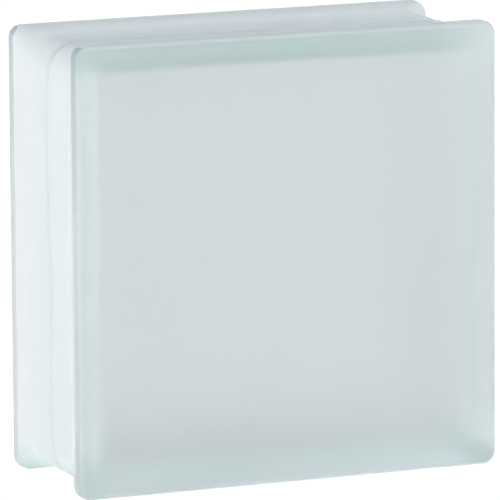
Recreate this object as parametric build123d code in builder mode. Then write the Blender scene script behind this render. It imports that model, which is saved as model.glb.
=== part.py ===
"""A hollow glass block: two pressed glass halves fused at mid-depth into one sealed body.

X runs across the face, Y through the wall from the front face to the back face, and Z up.
The origin is at the middle of the underside. All sizes are in millimetres.
"""

import os
from math import atan, degrees

from build123d import *

# Overall size
face_width = 190.0
face_height = 190.0
block_depth = 80.0

# Rim: the flat land round each face, rounded at the face and eased into the shoulder behind it
rim_land = 7.5
rim_corner_radius = 5.5
rim_face_radius = 3.0
rim_back_radius = 4.0

# Mortar channel: a shoulder slopes in from each rim to the side walls, whose corners are rounder
channel_depth = 3.0
shoulder_run = 9.0
shoulder_foot_radius = 24.0
shoulder_corner_radius = 12.0
lip_corner_radius = 11.0

# Fused seam: the shallow groove round the sides where the rounded lips of the halves met
seam_groove_width = 7.0
seam_groove_depth = 0.6
seam_corner_radius = 13.5

# Sealed hollow: pressed with draft, so it is wider at the seam than behind the face
face_wall = 8.0
hollow_face_margin = 11.0
hollow_seam_margin = 9.5
hollow_corner_radius = 6.0
hollow_face_radius = 1.5

half_depth = block_depth / 2
rim_back = half_depth - rim_land
shoulder_foot = rim_back - shoulder_run
lip = seam_groove_width / 2
hollow_reach = half_depth - face_wall
hollow_draft = degrees(atan((hollow_face_margin - hollow_seam_margin) / hollow_reach))
middle = Plane(origin=(0, 0, face_height / 2), x_dir=(1, 0, 0), z_dir=(0, -1, 0))


def outline(towards_face, inset, corner_radius):
    """Give the block's rounded outline, set in from the rim, on a plane between middle and face."""
    with BuildSketch(middle.offset(towards_face)) as section:
        RectangleRounded(face_width - 2 * inset, face_height - 2 * inset, corner_radius)
    return section.sketch.face()


with BuildPart() as hollow:
    # Front half of the hollow, drafted and with a round corner behind the face, and its mirror image
    extrude(outline(0, hollow_seam_margin, hollow_corner_radius), amount=hollow_reach)
    draft(hollow.faces().filter_by(Axis.Y, reverse=True), middle, hollow_draft)
    fillet(hollow.faces().sort_by(Axis.Y)[0].edges(), hollow_face_radius)
    mirror(about=Plane.XZ)

with BuildPart() as glass_block:
    # Front half: rim, shoulder, side wall and lip
    at_rim_back = outline(rim_back, 0, rim_corner_radius)
    at_shoulder_foot = outline(shoulder_foot, channel_depth, shoulder_corner_radius)
    at_lip = outline(lip, channel_depth, lip_corner_radius)
    at_seam = outline(0, channel_depth + seam_groove_depth, seam_corner_radius)
    extrude(at_rim_back, amount=rim_land)
    loft([at_rim_back, at_shoulder_foot, at_lip, at_seam], ruled=True)

    # Rounded edges: round the face, behind the rim and in the foot of the shoulder
    levels = glass_block.edges().filter_by(Plane.XZ).group_by(Axis.Y)
    face_edges, rim_back_edges, shoulder_foot_edges = levels[:3]
    fillet(face_edges, rim_face_radius)
    fillet(rim_back_edges, rim_back_radius)
    fillet(shoulder_foot_edges, shoulder_foot_radius)

    # Back half, the mirror image of the front one, and the hollow that the halves seal in
    mirror(about=Plane.XZ)
    add(hollow.part, mode=Mode.SUBTRACT)

glass_block.part.label = "glass_block"
os.makedirs("parts", exist_ok=True)
export_step(glass_block.part, "parts/glass_block.step")
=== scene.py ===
"""The looks of a hollow glass block: satin pressed glass with a white coat in its mortar channel.

X runs across the face, Y from the front face to the back face, and Z up, in metres, as in the frame.
"""

from math import atan, pi, radians, sin, sqrt, tan

import bmesh
import bpy
from bpy.props import FloatProperty, FloatVectorProperty, PointerProperty
from bpy.types import Operator, Panel, PropertyGroup
from mathutils import Euler, Matrix, Vector


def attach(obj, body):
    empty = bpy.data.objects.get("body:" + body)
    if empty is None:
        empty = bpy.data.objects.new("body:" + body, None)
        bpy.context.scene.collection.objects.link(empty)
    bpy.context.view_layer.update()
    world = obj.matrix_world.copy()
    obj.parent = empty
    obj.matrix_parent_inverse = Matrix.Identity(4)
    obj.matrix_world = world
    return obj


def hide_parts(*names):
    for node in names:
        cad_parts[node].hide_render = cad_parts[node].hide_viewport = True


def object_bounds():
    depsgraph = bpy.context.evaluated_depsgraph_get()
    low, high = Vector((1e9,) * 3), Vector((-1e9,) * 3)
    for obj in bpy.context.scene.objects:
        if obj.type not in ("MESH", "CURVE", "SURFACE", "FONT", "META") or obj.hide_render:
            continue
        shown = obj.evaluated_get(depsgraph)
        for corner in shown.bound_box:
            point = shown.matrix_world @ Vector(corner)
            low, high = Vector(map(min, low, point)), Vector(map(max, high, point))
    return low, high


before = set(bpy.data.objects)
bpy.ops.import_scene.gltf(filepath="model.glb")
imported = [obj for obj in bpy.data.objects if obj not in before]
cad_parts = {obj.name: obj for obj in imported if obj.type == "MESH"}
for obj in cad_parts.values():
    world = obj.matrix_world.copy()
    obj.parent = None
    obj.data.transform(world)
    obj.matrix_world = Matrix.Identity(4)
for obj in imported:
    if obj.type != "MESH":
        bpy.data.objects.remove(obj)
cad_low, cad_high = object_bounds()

bl_info = {
    "name": "Glass Block",
    "version": (1, 0, 0),
    "blender": (4, 5, 0),
    "location": "View3D > Sidebar > Glass Block",
    "description": "Builds a satin glass block and the pale studio that it stands in",
    "category": "Object",
}

MM = 0.001
CAD_NODE = "glass_block"
CAD_BODY = "root"

# Mesh attributes that the glass reads: distance behind the coat's edge, and 1 inside the hollow
BEHIND_EDGE = "behind_coat_edge"
INSIDE = "inside"

# Sockets of a node that mixes colours: its factor, its two colours and, among its outputs, the mix
FACTOR, FIRST, SECOND, MIXED = 0, 6, 7, 2
WHITE = (1, 1, 1, 1)

# How many pieces each round or long edge is cut into
CORNER_SEGMENTS = 10
SIDE_SEGMENTS = 24
FACE_EDGE_SEGMENTS = 7
RIM_BACK_SEGMENTS = 4
SHOULDER_FOOT_SEGMENTS = 5
HOLLOW_EDGE_SEGMENTS = 6

# Where the loops of a lip lie, as shares of the way from the seam to the side wall
LIP_SHARES = (1.0, 0.75, 0.5, 0.3, 0.15, 0.05, 0.0)

# Waves in which the seam strays: wavelength in mm, share of the stray, and phase
SEAM_WAVES = ((340, 0.6, 1.1), (118, 0.4, -1.48))

# Where a finish begins and where it is full, as distances from an edge of the block, a rim or the coat
# Painted light: along the top the coat is drawn further over the rims, but not at their corners
TOP_LAP_BELOW_TOP = (2.5 * MM, 0)
TOP_LAP_FROM_SIDE = (1.5 * MM, 5.5 * MM)
# Painted light: where the coat over the top rims takes its own colour and clearness
PAINTED_LAP_FROM_RIM = (4.0 * MM, 1.5 * MM)
PAINTED_LAP_BELOW_TOP = (4.0 * MM, 2.5 * MM)
# Painted shade in the lower corners of the channel
CORNER_SHADE_FROM_SIDE = (16.0 * MM, 6.0 * MM)
CORNER_SHADE_ABOVE_FLOOR = (12.0 * MM, 3.0 * MM)
# Painted shade on the rims' side lands
RIM_SHADE_FROM_SIDE = (8.0 * MM, 3.0 * MM)
RIM_SHADE_FROM_FACE = (0.9 * MM, 2.0 * MM)
RIM_SHADE_BELOW_TOP = (76.0 * MM, 0)
COARSE_ETCH_FROM_COAT = (5.3 * MM, 2.3 * MM)

# How strong the painted shade on the rims is low down, as a share of its strength at the top
RIM_SHADE_LOW_SHARE = 0.65

# Coat: the rags of its edge, its faint streaks, and the painted light and shade on its two halves
RAG_LENGTH = 5.0 * MM
RAG_REACH = 0.6 * MM
STREAK_LENGTH = 70.0 * MM
STREAK_WIDTH = 4.0 * MM
STREAK_RANGE = (0.3, 0.65)
STREAK_WHITENESS = 0.98
HALVES_BLEND = 10.0 * MM
# Painted light on the front half and painted shade on the back one, so that both come out equally bright
FRONT_HALF_PAINTED_LIGHT = 1.04
BACK_HALF_PAINTED_SHADE = 0.96

# Glass: how it bends light, how strongly its depth tints light, and its etched pits
SODA_LIME_IOR = 1.52
DEPTH_TINT_DENSITY = 6.0
PIT_SIZE = 0.9 * MM
PIT_DEPTH = 0.05 * MM
PIT_STRENGTH = 0.15

# Stage: the table, the softboxes, the climb of a ray where the ceiling begins and is full, the camera
TABLE_HALF_SIZE = 20.0
TABLE_DROP = 0.2 * MM
TABLE_ROUGHNESS = 0.9
TABLE_MATT_LIT = 0.85
TABLE_MATT_SEEN = 0.16
LEFT_SOFTBOX_PLACE = (-2.5, 1.8, 0.6)
RIGHT_SOFTBOX_PLACE = (2.5, 0.2, 0.6)
SOFTBOX_WIDTH = 4.0
SOFTBOX_HEIGHT = 1.2
CEILING_CLIMB = (0.05, 0.6)
SENSOR_WIDTH_MM = 36.0
CAMERA_REACH = 100.0

# Light path lengths that let light find its way through the walls of the hollow
MOST_BOUNCES = 24
MOST_GLOSSY_BOUNCES = 16
MOST_DIFFUSE_BOUNCES = 8


def linear(hex_code):
    """Turn an sRGB hex colour into linear red, green and blue."""
    shares = [int(hex_code[i:i + 2], 16) / 255 for i in (0, 2, 4)]
    return tuple(s / 12.92 if s <= 0.04045 else ((s + 0.055) / 1.055) ** 2.4 for s in shares)


def opaque(colour):
    """Give a colour its full alpha, as a socket takes it."""
    return (*colour, 1.0)


def length(name, description, millimetres):
    """Describe a length that a user may change, given in millimetres and kept in metres."""
    return FloatProperty(
        name=name, description=description, default=millimetres * MM, min=0,
        subtype="DISTANCE", unit="LENGTH"
    )


def share(name, description, default):
    """Describe a share between 0 and 1 that a user may change."""
    return FloatProperty(
        name=name, description=description, default=default, min=0, max=1, subtype="FACTOR"
    )


def colour(name, description, hex_code):
    """Describe a colour that a user may change, given as an sRGB hex code and kept linear."""
    return FloatVectorProperty(
        name=name, description=description, default=linear(hex_code), min=0, max=1, size=3,
        subtype="COLOR"
    )


def angle(name, description, degrees):
    """Describe an angle that a user may change, given in degrees and kept in radians."""
    return FloatProperty(name=name, description=description, default=radians(degrees), unit="ROTATION")


def power(name, description, watts):
    """Describe the power of a lamp that a user may change."""
    return FloatProperty(name=name, description=description, default=watts, min=0, unit="POWER")


class GlassBlockShape(PropertyGroup):
    """Sizes of the block. The three overall ones come from the frame."""

    face_width: length("Face width", "Across the face", (cad_high.x - cad_low.x) / MM)
    face_height: length("Face height", "From the floor to the top", (cad_high.z - cad_low.z) / MM)
    block_depth: length("Depth", "From the front face to the back face", (cad_high.y - cad_low.y) / MM)
    rim_land: length("Rim land", "Depth of the flat land round each face", 7.5)
    rim_corner_radius: length("Rim corner radius", "Round corners of the face's outline", 5.5)
    rim_face_radius: length("Face edge radius", "Rounding between the face and its rim", 3.0)
    rim_back_radius: length("Rim back radius", "Easing between the rim and the shoulder behind it", 4.0)
    channel_depth: length("Channel depth", "How far the side walls lie below the rims", 3.0)
    shoulder_run: length("Shoulder run", "Depth over which the wall slopes in behind a rim", 9.0)
    shoulder_foot_radius: length("Shoulder foot radius", "Easing of the shoulder into the side wall", 24.0)
    shoulder_corner_radius: length("Shoulder corner radius", "Round corners at the shoulder's foot", 12.0)
    lip_corner_radius: length("Lip corner radius", "Round corners beside the seam", 11.0)
    seam_groove_width: length("Seam groove width", "From lip to lip across the fused seam", 12.0)
    seam_groove_depth: length("Seam groove depth", "How far the seam lies below the side walls", 0.9)
    seam_corner_radius: length("Seam corner radius", "Round corners of the seam itself", 13.5)
    seam_wander: length("Seam wander", "How far the seam strays to either side of mid-depth", 4.0)
    face_wall: length("Face wall", "Thickness of the glass behind each face", 8.0)
    hollow_face_margin: length("Hollow face margin", "From the rim to the hollow, behind a face", 11.0)
    hollow_seam_margin: length("Hollow seam margin", "From the rim to the hollow, at the seam", 9.5)
    hollow_corner_radius: length("Hollow corner radius", "Round corners of the hollow at the seam", 6.0)
    hollow_face_radius: length("Hollow face radius", "Rounding of the hollow behind a face", 1.5)
    front_coat_lap: length("Front coat lap", "How far the coat laps onto the front rim", 2.1)
    back_coat_lap: length("Back coat lap", "How far the coat laps onto the back rim", 0.5)
    # Painted light: the further lap on top lets the top rims show lighter, as lit from above
    top_coat_lap: length("Top coat lap", "How much further the coat laps over the rims on top", 9.0)
    face_border: length("Face border", "Narrow band of mesh round each flat face", 1.5)


class GlassBlockFinish(PropertyGroup):
    """Colours and surfaces of the glass, its coat and the table."""

    glass_tint: colour("Glass tint", "What is left of white light at the skin of the glass", "F2F3F5")
    glass_depth_tint: colour("Glass depth tint", "White light after a long way through the glass", "82DCC2")
    satin_roughness: share("Satin roughness", "Roughness of the etched skin", 0.6)
    satin_clearness: share("Satin clearness", "Share of light that the etched skin lets through", 0.95)
    # Painted shade: grey on the rims' side lands, standing for the dark they reflect
    rim_shade_tint: colour("Rim tint", "What is left of white light at the handled rims", "ADB7BE")
    rim_clearness: share("Rim clearness", "Share of light that the coarser rims let through", 0.6)
    hollow_roughness: share("Hollow roughness", "Roughness of the pressed glass inside the hollow", 0.35)
    coat_white: colour("Coat white", "Colour of the coat in the mortar channel", "ECEEF3")
    coat_clearness: share("Coat clearness", "Share of light that the coat lets through", 0.61)
    # Painted light: the coat's own colour where it laps over the top rims, drawn for the light from above
    top_lap_painted_white: colour("Lap white", "Colour of the coat where it laps thicker over the rims", "E6EDEB")
    lap_clearness: share("Lap clearness", "Share of light that the coat on the rims lets through", 0.2)
    # Painted shade: the greyer, greener coat in the channel's lower corners, where less light falls
    corner_shade_colour: colour("Stain", "Colour of the coat where its lower corners are soiled", "CAD8D9")
    coat_roughness: share("Coat roughness", "Roughness of the coat", 0.95)
    coat_fade: length("Coat fade", "Width over which the coat thins out behind a rim", 0.8)
    table_white: share("Table white", "How bright the table looks where nothing lights it", 0.93)


class GlassBlockStage(PropertyGroup):
    """Camera and light of the studio."""

    camera_place: FloatVectorProperty(
        name="Camera place", description="Where the camera stands", default=(-1.0205, -2.4278, 0.5456),
        subtype="TRANSLATION", unit="LENGTH"
    )
    camera_tilt: angle("Camera tilt", "Tilt of the camera below level", 9.754)
    camera_turn: angle("Camera turn", "Turn of the camera towards the right side", 22.770)
    camera_roll: angle("Camera roll", "Clockwise roll of the camera", 0.405)
    camera_lens: FloatProperty(
        name="Lens", description="Focal length on a sensor 36 mm wide", default=455.0, unit="CAMERA"
    )
    ceiling: colour("Ceiling", "Light from overhead, dimmer than the white walls", "C1C8D1")
    table_light: share("Table light", "How strongly the lit table lights the block from below", 0.93)
    lamp_colour: colour("Lamp colour", "Colour of the light of both softboxes", "FFF1E0")
    left_power: power("Left softbox", "Power of the left softbox", 35.0)
    right_power: power("Right softbox", "Power of the right softbox", 28.0)


def inwards(edge, distances):
    """Give the places that lie at some distances in from an edge."""
    return [edge - distance for distance in distances]


def smoothstep(start, end, value):
    """Rise gently from 0 at the start to 1 at the end."""
    way = min(1.0, max(0.0, (value - start) / (end - start)))
    return way * way * (3 - 2 * way)


def rounded_loop(bm, shape, depth, inset, corner_radius):
    """Add a face with round corners across the block at a depth, set in from the rim."""
    others = set(bm.faces)
    half_size = Matrix.Diagonal((shape.face_width / 2 - inset, shape.face_height / 2 - inset, 1, 1))
    upright = Matrix.Translation((0, depth, shape.face_height / 2)) @ Matrix.Rotation(pi / 2, 4, "X")
    made = bmesh.ops.create_grid(bm, x_segments=1, y_segments=1, size=1, matrix=upright @ half_size)
    bmesh.ops.bevel(
        bm, geom=made["verts"], offset=corner_radius, offset_type="OFFSET", affect="VERTICES",
        segments=CORNER_SEGMENTS, profile=0.5, material=-1
    )
    rounded = (set(bm.faces) - others).pop()
    sides = sorted(rounded.edges, key=lambda edge: edge.calc_length())[-4:]
    bmesh.ops.subdivide_edges(bm, edges=sides, cuts=SIDE_SEGMENTS - 1)
    return (set(bm.faces) - others).pop()


def skin(bm, shape, stations):
    """Join rounded loops along the depth into a closed skin and give the loops' edges."""
    faces = [rounded_loop(bm, shape, *station) for station in stations]
    loops = [list(face.edges) for face in faces]
    bmesh.ops.delete(bm, geom=faces[1:-1], context="FACES_ONLY")
    for near, far in zip(loops, loops[1:]):
        bmesh.ops.bridge_loops(bm, edges=near + far)
    bmesh.ops.recalc_face_normals(bm, faces=bm.faces)
    return loops


def mirrored(stations):
    """Continue stations from a face to the seam with their mirror image beyond the seam."""
    return stations + [(-depth, *rest) for depth, *rest in reversed(stations[:-1])]


def round_off(bm, loops, offset, segments):
    """Round the edges of some loops of a skin."""
    bmesh.ops.bevel(
        bm, geom=[edge for loop in loops for edge in loop], offset=offset, offset_type="OFFSET",
        affect="EDGES", segments=segments, profile=0.5, material=-1, clamp_overlap=False
    )


def border_faces(bm, shape):
    """Put a narrow band of mesh round the two flat end faces, so that they shade flat."""
    ends = sorted(bm.faces, key=lambda face: face.calc_area())[-2:]
    bmesh.ops.inset_individual(bm, faces=ends, thickness=shape.face_border, use_even_offset=True)


def coat_reach(shape, place):
    """Tell how far from mid-depth the coat reaches: furthest on top, but not at the rims' corners."""
    lap = shape.front_coat_lap if place.y < 0 else shape.back_coat_lap
    on_top = smoothstep(*inwards(shape.face_height, TOP_LAP_BELOW_TOP), place.z)
    off_corner = smoothstep(*inwards(shape.face_width / 2, TOP_LAP_FROM_SIDE), abs(place.x))
    # Painted light: along the top the coat reaches further over the rims, so that they show lighter
    lap += shape.top_coat_lap * on_top * off_corner
    return shape.block_depth / 2 - shape.rim_land + lap


def seam_stray(shape, place):
    """Tell how far the fused seam drags its lips out of their plane, and the side walls less and less."""
    lip = shape.seam_groove_width / 2
    foot = shape.block_depth / 2 - shape.rim_land - shape.shoulder_run
    fade = smoothstep(foot, lip, abs(place.y))
    along = (place.x + place.z) / MM
    wave = sum(part * sin(2 * pi * along / wavelength + phase) for wavelength, part, phase in SEAM_WAVES)
    return shape.seam_wander * wave * fade


def outer_skin(shape):
    """Model the outside: rims, shoulders, side walls and the rounded lips that meet at the seam."""
    half_depth = shape.block_depth / 2
    rim_back = half_depth - shape.rim_land
    lip = shape.seam_groove_width / 2
    stations = [
        (half_depth, 0, shape.rim_corner_radius),
        (rim_back, 0, shape.rim_corner_radius),
        (rim_back - shape.shoulder_run, shape.channel_depth, shape.shoulder_corner_radius),
    ]
    for lip_share in LIP_SHARES:
        drop = 1 - sqrt(1 - (1 - lip_share) ** 2)
        corner = shape.lip_corner_radius + drop * (shape.seam_corner_radius - shape.lip_corner_radius)
        stations.append((lip * lip_share, shape.channel_depth + drop * shape.seam_groove_depth, corner))
    bm = bmesh.new()
    loops = skin(bm, shape, mirrored(stations))
    face_edges, rim_backs, shoulder_feet = [(loops[i], loops[-1 - i]) for i in range(3)]
    half_slope = tan(atan(shape.channel_depth / shape.shoulder_run) / 2)
    round_off(bm, shoulder_feet, shape.shoulder_foot_radius * half_slope, SHOULDER_FOOT_SEGMENTS)
    round_off(bm, rim_backs, shape.rim_back_radius * half_slope, RIM_BACK_SEGMENTS)
    round_off(bm, face_edges, shape.rim_face_radius, FACE_EDGE_SEGMENTS)
    border_faces(bm, shape)
    behind_edge = bm.verts.layers.float.new(BEHIND_EDGE)
    bm.verts.layers.float.new(INSIDE)
    for vert in bm.verts:
        vert[behind_edge] = coat_reach(shape, vert.co) - abs(vert.co.y)
        vert.co.y += seam_stray(shape, vert.co)
    return bm


def hollow_skin(shape):
    """Model the sealed hollow, with its faces turned towards the air inside."""
    reach = shape.block_depth / 2 - shape.face_wall
    draft = shape.hollow_face_margin - shape.hollow_seam_margin
    stations = [
        (reach, shape.hollow_face_margin, shape.hollow_corner_radius - draft),
        (0, shape.hollow_seam_margin, shape.hollow_corner_radius),
    ]
    bm = bmesh.new()
    loops = skin(bm, shape, mirrored(stations))
    round_off(bm, [loops[0], loops[-1]], shape.hollow_face_radius, HOLLOW_EDGE_SEGMENTS)
    border_faces(bm, shape)
    bmesh.ops.reverse_faces(bm, faces=bm.faces)
    behind_edge = bm.verts.layers.float.new(BEHIND_EDGE)
    inside = bm.verts.layers.float.new(INSIDE)
    for vert in bm.verts:
        vert[behind_edge] = -shape.rim_land
        vert[inside] = 1
    return bm


def add_node(tree, kind, values=None, links=None, **settings):
    """Add a node with its settings, the values of its sockets and what feeds them."""
    node = tree.nodes.new(kind)
    for name, value in settings.items():
        setattr(node, name, value)
    for socket, value in (values or {}).items():
        node.inputs[socket].default_value = value
    for socket, source in (links or {}).items():
        tree.links.new(source, node.inputs[socket])
    return node


def empty_material(name):
    """Start a material with nothing in its tree."""
    material = bpy.data.materials.new(name)
    material.use_nodes = True
    material.node_tree.nodes.clear()
    return material, material.node_tree


def per_metre(size):
    """Give the texture scale that repeats a pattern at a real size."""
    return 1 / size


def coat_cover(tree, finish, place, behind_edge):
    """Give 1 where the coat covers the glass and 0 on the bare rims, with a ragged edge between them."""
    ragged = add_node(
        tree, "ShaderNodeTexNoise", {"Scale": per_metre(RAG_LENGTH), "Detail": 4.0}, {"Vector": place}
    )
    stray = add_node(
        tree, "ShaderNodeMapRange", {"To Min": -RAG_REACH, "To Max": RAG_REACH},
        {"Value": ragged.outputs["Fac"]}
    )
    edge = add_node(
        tree, "ShaderNodeMath", links={0: behind_edge, 1: stray.outputs["Result"]}, operation="ADD"
    )
    cover = add_node(
        tree, "ShaderNodeMapRange", {"From Max": finish.coat_fade}, {"Value": edge.outputs["Value"]},
        interpolation_type="SMOOTHSTEP"
    )
    return cover.outputs["Result"]


def coat_colour(tree, finish, place, through, on_lit_top_lap, shade_share_in_corners):
    """Give the coat's white, with faint streaks along the channel, painted light and shade on its two
    halves, painted light where it laps over the rims on top, and painted shade in its lower corners.
    """
    streak_scale = (per_metre(STREAK_LENGTH), per_metre(STREAK_WIDTH), per_metre(STREAK_LENGTH))
    along_channel = add_node(tree, "ShaderNodeMapping", {"Scale": streak_scale}, {"Vector": place})
    streaks = add_node(
        tree, "ShaderNodeTexNoise", {"Scale": 1.0, "Detail": 3.0},
        {"Vector": along_channel.outputs["Vector"]}
    )
    white = add_node(tree, "ShaderNodeValToRGB", links={"Fac": streaks.outputs["Fac"]})
    thin, full = white.color_ramp.elements
    thin.position, full.position = STREAK_RANGE
    thin.color = opaque(Vector(finish.coat_white) * STREAK_WHITENESS)
    full.color = opaque(finish.coat_white)
    # Painted light and shade: the front half of the coat is drawn lighter and the back half darker, to even
    # out the light that falls less on the front half
    halves_painted_light = add_node(
        tree, "ShaderNodeMapRange",
        {
            "From Min": -HALVES_BLEND, "From Max": HALVES_BLEND,
            "To Min": FRONT_HALF_PAINTED_LIGHT, "To Max": BACK_HALF_PAINTED_SHADE,
        },
        {"Value": through}
    )
    coat = add_node(
        tree, "ShaderNodeVectorMath",
        links={0: white.outputs["Color"], "Scale": halves_painted_light.outputs["Result"]}, operation="SCALE"
    )
    # Painted light on the coat's lap over the top rims
    lapped = add_node(
        tree, "ShaderNodeMix", {SECOND: opaque(finish.top_lap_painted_white)},
        {FACTOR: on_lit_top_lap, FIRST: coat.outputs["Vector"]}, data_type="RGBA"
    )
    # Painted shade in the lower corners
    corner_shade_mix = add_node(
        tree, "ShaderNodeMix", {SECOND: opaque(finish.corner_shade_colour)},
        {FACTOR: shade_share_in_corners, FIRST: lapped.outputs[MIXED]}, data_type="RGBA"
    )
    return corner_shade_mix.outputs[MIXED]


def zone(tree, *edges):
    """Give 1 within a zone, faded out across its edges.

    An edge is a value, where the fade begins and where it is full, and what is left before it begins.
    """
    within = None
    for value, begin, full, left in edges:
        fade = add_node(
            tree, "ShaderNodeMapRange", {"From Min": begin, "From Max": full, "To Min": left},
            {"Value": value}
        ).outputs["Result"]
        if within:
            fade = add_node(
                tree, "ShaderNodeMath", links={0: within, 1: fade}, operation="MULTIPLY"
            ).outputs["Value"]
        within = fade
    return within


def painted_rim_shade(tree, shape, from_middle, from_seam, up):
    """Give the painted shade on the rims, standing for the dark they reflect: most on the lands of the
    sides, and more towards the top.
    """
    return zone(
        tree,
        (from_middle, *inwards(shape.face_width / 2, RIM_SHADE_FROM_SIDE), 0),
        (from_seam, *inwards(shape.block_depth / 2, RIM_SHADE_FROM_FACE), 0),
        (up, *inwards(shape.face_height, RIM_SHADE_BELOW_TOP), RIM_SHADE_LOW_SHARE),
    )


def painted_top_lap(tree, shape, from_seam, up):
    """Give where the coat, along the top, is painted over the rims in its own colour and more opaque, so
    that the top rims show as lit from above.
    """
    rim_back = shape.block_depth / 2 - shape.rim_land
    return zone(
        tree,
        (from_seam, *inwards(rim_back, PAINTED_LAP_FROM_RIM), 0),
        (up, *inwards(shape.face_height, PAINTED_LAP_BELOW_TOP), 0),
    )


def painted_corner_shade(tree, shape, from_middle, up):
    """Give the painted shade in the lower corners of the channel."""
    return zone(
        tree,
        (from_middle, *inwards(shape.face_width / 2, CORNER_SHADE_FROM_SIDE), 0),
        (up, *CORNER_SHADE_ABOVE_FLOOR, 0),
    )


def coated_glass(shape, finish):
    """Pressed soda-lime glass with an etched skin, under a white mineral coat in the mortar channel.

    The etched skin glows evenly and blurs all that is behind it, so the hollow shows only as a pale panel
    in a greener frame of thicker glass. The coat is matt and milky, and lets some light into the walls.
    """
    material, tree = empty_material("etched_pressed_glass")
    place = add_node(tree, "ShaderNodeTexCoord").outputs["Object"]
    inside = add_node(tree, "ShaderNodeAttribute", attribute_name=INSIDE).outputs["Fac"]
    behind_edge = add_node(tree, "ShaderNodeAttribute", attribute_name=BEHIND_EDGE).outputs["Fac"]
    parts = add_node(tree, "ShaderNodeSeparateXYZ", links={"Vector": place}).outputs
    from_middle, from_seam = [
        add_node(tree, "ShaderNodeMath", links={0: parts[axis]}, operation="ABSOLUTE").outputs["Value"]
        for axis in "XY"
    ]
    up = parts["Z"]
    coat = coat_cover(tree, finish, place, behind_edge)
    # Painted light on the rims along the top
    on_lit_top_lap = painted_top_lap(tree, shape, from_seam, up)
    # Painted shade in the lower corners
    shade_share_in_corners = painted_corner_shade(tree, shape, from_middle, up)
    white = coat_colour(tree, finish, place, parts["Y"], on_lit_top_lap, shade_share_in_corners)
    # Painted shade: the bare glass turns grey on the rims' side lands
    bare_tint_with_rim_shade = add_node(
        tree, "ShaderNodeMix", {FIRST: opaque(finish.glass_tint), SECOND: opaque(finish.rim_shade_tint)},
        {FACTOR: painted_rim_shade(tree, shape, from_middle, from_seam, up)}, data_type="RGBA"
    )
    tint = add_node(
        tree, "ShaderNodeMix", links={FACTOR: coat, FIRST: bare_tint_with_rim_shade.outputs[MIXED], SECOND: white},
        data_type="RGBA"
    )
    bare = add_node(
        tree, "ShaderNodeMapRange", {"To Min": finish.satin_roughness, "To Max": finish.hollow_roughness},
        {"Value": inside}
    )
    roughness = add_node(
        tree, "ShaderNodeMapRange", {"To Max": finish.coat_roughness},
        {"Value": coat, "To Min": bare.outputs["Result"]}
    )
    etch_begin, etch_full = inwards(0, COARSE_ETCH_FROM_COAT)
    etched = add_node(
        tree, "ShaderNodeMapRange",
        {
            "From Min": etch_begin, "From Max": etch_full,
            "To Min": finish.satin_clearness, "To Max": finish.rim_clearness,
        },
        {"Value": behind_edge}
    )
    coated = add_node(
        tree, "ShaderNodeMapRange", {"To Min": finish.coat_clearness, "To Max": finish.lap_clearness},
        {"Value": on_lit_top_lap}
    )
    clearness = add_node(
        tree, "ShaderNodeMapRange",
        links={"Value": coat, "To Min": etched.outputs["Result"], "To Max": coated.outputs["Result"]}
    )
    # The etched pits are far finer than this: drawn coarser, they show close by
    pits = add_node(
        tree, "ShaderNodeTexNoise", {"Scale": per_metre(PIT_SIZE), "Detail": 3.0}, {"Vector": place}
    )
    frost = add_node(
        tree, "ShaderNodeBump", {"Strength": PIT_STRENGTH, "Distance": PIT_DEPTH},
        {"Height": pits.outputs["Fac"]}
    )
    glass = add_node(
        tree, "ShaderNodeBsdfPrincipled", {"IOR": SODA_LIME_IOR},
        {
            "Base Color": tint.outputs[MIXED],
            "Roughness": roughness.outputs["Result"],
            "Transmission Weight": clearness.outputs["Result"],
            "Normal": frost.outputs["Normal"],
        }
    )
    depth = add_node(
        tree, "ShaderNodeVolumeAbsorption",
        {"Color": opaque(finish.glass_depth_tint), "Density": DEPTH_TINT_DENSITY}
    )
    add_node(
        tree, "ShaderNodeOutputMaterial",
        links={"Surface": glass.outputs["BSDF"], "Volume": depth.outputs["Volume"]}
    )
    return material


def seen_directly(tree):
    """Give 1 on rays from the camera, off gloss or through glass, and 0 on rays that only light things."""
    path = add_node(tree, "ShaderNodeLightPath")
    seen = path.outputs["Is Camera Ray"]
    for ray in ("Is Glossy Ray", "Is Transmission Ray"):
        seen = add_node(
            tree, "ShaderNodeMath", links={0: seen, 1: path.outputs[ray]}, operation="MAXIMUM"
        ).outputs["Value"]
    return seen


def lit_table(finish, stage):
    """Opal table top lit from below: white all over where it is seen, with only a faint shadow on it."""
    material, tree = empty_material("opal_table_top")
    seen = seen_directly(tree)
    glow = add_node(
        tree, "ShaderNodeMapRange", {"To Min": stage.table_light, "To Max": finish.table_white},
        {"Value": seen}
    )
    # Seen directly, it glows more than it throws light back, so its shadow stays faint
    matt = add_node(
        tree, "ShaderNodeMapRange", {"To Min": TABLE_MATT_LIT, "To Max": TABLE_MATT_SEEN}, {"Value": seen}
    )
    top = add_node(
        tree, "ShaderNodeBsdfPrincipled",
        {"Roughness": TABLE_ROUGHNESS, "Specular IOR Level": 0.0, "Emission Color": WHITE},
        {"Base Color": matt.outputs["Result"], "Emission Strength": glow.outputs["Result"]}
    )
    add_node(tree, "ShaderNodeOutputMaterial", links={"Surface": top.outputs["BSDF"]})
    return material


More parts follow.
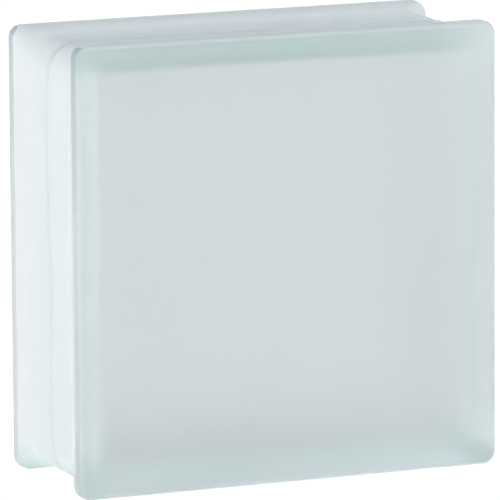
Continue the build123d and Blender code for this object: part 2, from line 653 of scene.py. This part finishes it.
def studio_world(stage):
    """Set the surround: walls of plain white and a dimmer ceiling."""
    world = bpy.data.worlds.new("white_walls")
    world.use_nodes = True
    tree = world.node_tree
    tree.nodes.clear()
    direction = add_node(tree, "ShaderNodeTexCoord").outputs["Generated"]
    climb = add_node(tree, "ShaderNodeSeparateXYZ", links={"Vector": direction}).outputs["Z"]
    overhead = zone(tree, (climb, *CEILING_CLIMB, 0))
    surround = add_node(
        tree, "ShaderNodeMix", {FIRST: WHITE, SECOND: opaque(stage.ceiling)}, {FACTOR: overhead},
        data_type="RGBA"
    )
    sky = add_node(tree, "ShaderNodeBackground", {"Strength": 1.0}, {"Color": surround.outputs[MIXED]})
    add_node(tree, "ShaderNodeOutputWorld", links={"Surface": sky.outputs["Background"]})
    bpy.context.scene.world = world


def as_object(bm, name, material):
    """Turn a bmesh into an object in the scene, shaded smooth."""
    for face in bm.faces:
        face.smooth = True
    mesh = bpy.data.meshes.new(name)
    bm.to_mesh(mesh)
    bm.free()
    mesh.materials.append(material)
    made = bpy.data.objects.new(name, mesh)
    bpy.context.scene.collection.objects.link(made)
    return made


class GLASSBLOCK_OT_block(Operator):
    """Model the glass block with its hollow and give it its glass and its coat"""

    bl_idname = "glassblock.block"
    bl_label = "Build Glass Block"

    def execute(self, context):
        shape = context.scene.glass_block_shape
        bm = outer_skin(shape)
        hollow = hollow_skin(shape)
        hollow_mesh = bpy.data.meshes.new("hollow")
        hollow.to_mesh(hollow_mesh)
        hollow.free()
        bm.from_mesh(hollow_mesh)
        bpy.data.meshes.remove(hollow_mesh)
        block = as_object(bm, "satin_glass_block", coated_glass(shape, context.scene.glass_block_finish))
        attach(block, CAD_BODY)
        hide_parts(CAD_NODE)
        return {"FINISHED"}


def softbox(name, place, stage, watts):
    """Hang a wide soft lamp, aimed at the block, that is seen only by its light."""
    data = bpy.data.lights.new(name, "AREA")
    data.shape = "RECTANGLE"
    data.size = SOFTBOX_WIDTH
    data.size_y = SOFTBOX_HEIGHT
    data.energy = watts
    data.color = stage.lamp_colour
    lamp = bpy.data.objects.new(name, data)
    bpy.context.scene.collection.objects.link(lamp)
    aim = (cad_low + cad_high) / 2
    lamp.location = place
    lamp.rotation_euler = (aim - Vector(place)).to_track_quat("-Z", "Y").to_euler()
    lamp.visible_camera = False


def stand_camera(scene, stage):
    """Stand the camera to the left of the front face, looking a little down on the block."""
    data = bpy.data.cameras.new("camera")
    data.lens = stage.camera_lens
    data.sensor_width = SENSOR_WIDTH_MM
    data.clip_end = CAMERA_REACH
    camera = bpy.data.objects.new("camera", data)
    scene.collection.objects.link(camera)
    camera.location = stage.camera_place
    aimed = Euler((pi / 2 - stage.camera_tilt, 0, -stage.camera_turn)).to_matrix()
    camera.rotation_euler = (aimed @ Matrix.Rotation(-stage.camera_roll, 3, "Z")).to_euler()
    scene.camera = camera


class GLASSBLOCK_OT_stage(Operator):
    """Lay the lit table, hang the lamps and set the camera"""

    bl_idname = "glassblock.stage"
    bl_label = "Set Stage"

    def execute(self, context):
        scene = context.scene
        stage = scene.glass_block_stage
        bm = bmesh.new()
        just_below = Matrix.Translation((0, 0, -TABLE_DROP))
        bmesh.ops.create_grid(bm, x_segments=1, y_segments=1, size=TABLE_HALF_SIZE, matrix=just_below)
        table = as_object(bm, "table", lit_table(scene.glass_block_finish, stage))
        studio_world(stage)
        softbox("left_softbox", LEFT_SOFTBOX_PLACE, stage, stage.left_power)
        softbox("right_softbox", RIGHT_SOFTBOX_PLACE, stage, stage.right_power)
        stand_camera(scene, stage)
        scene.view_settings.view_transform = "Standard"
        scene.cycles.max_bounces = MOST_BOUNCES
        scene.cycles.transmission_bounces = MOST_BOUNCES
        scene.cycles.glossy_bounces = MOST_GLOSSY_BOUNCES
        scene.cycles.diffuse_bounces = MOST_DIFFUSE_BOUNCES
        return {"FINISHED"}


class GLASSBLOCK_PT_sidebar(Panel):
    """Sizes, finish and stage of the glass block"""

    bl_idname = "GLASSBLOCK_PT_sidebar"
    bl_label = "Glass Block"
    bl_space_type = "VIEW_3D"
    bl_region_type = "UI"
    bl_category = "Glass Block"

    def draw(self, context):
        scene = context.scene
        for settings in (scene.glass_block_shape, scene.glass_block_finish, scene.glass_block_stage):
            column = self.layout.column()
            for name in settings.__annotations__:
                column.prop(settings, name)
        for operator in (GLASSBLOCK_OT_block, GLASSBLOCK_OT_stage):
            self.layout.operator(operator.bl_idname)


CLASSES = (
    GlassBlockShape, GlassBlockFinish, GlassBlockStage,
    GLASSBLOCK_OT_block, GLASSBLOCK_OT_stage, GLASSBLOCK_PT_sidebar,
)


def register():
    """Register the classes and hang their settings on the scene."""
    for cls in CLASSES:
        bpy.utils.register_class(cls)
    bpy.types.Scene.glass_block_shape = PointerProperty(type=GlassBlockShape)
    bpy.types.Scene.glass_block_finish = PointerProperty(type=GlassBlockFinish)
    bpy.types.Scene.glass_block_stage = PointerProperty(type=GlassBlockStage)


def unregister():
    """Take the settings and the classes away again."""
    del bpy.types.Scene.glass_block_stage
    del bpy.types.Scene.glass_block_finish
    del bpy.types.Scene.glass_block_shape
    for cls in reversed(CLASSES):
        bpy.utils.unregister_class(cls)


def main():
    """Build the block and its stage."""
    register()
    bpy.ops.glassblock.block()
    bpy.ops.glassblock.stage()


if __name__ == "__main__":
    main()
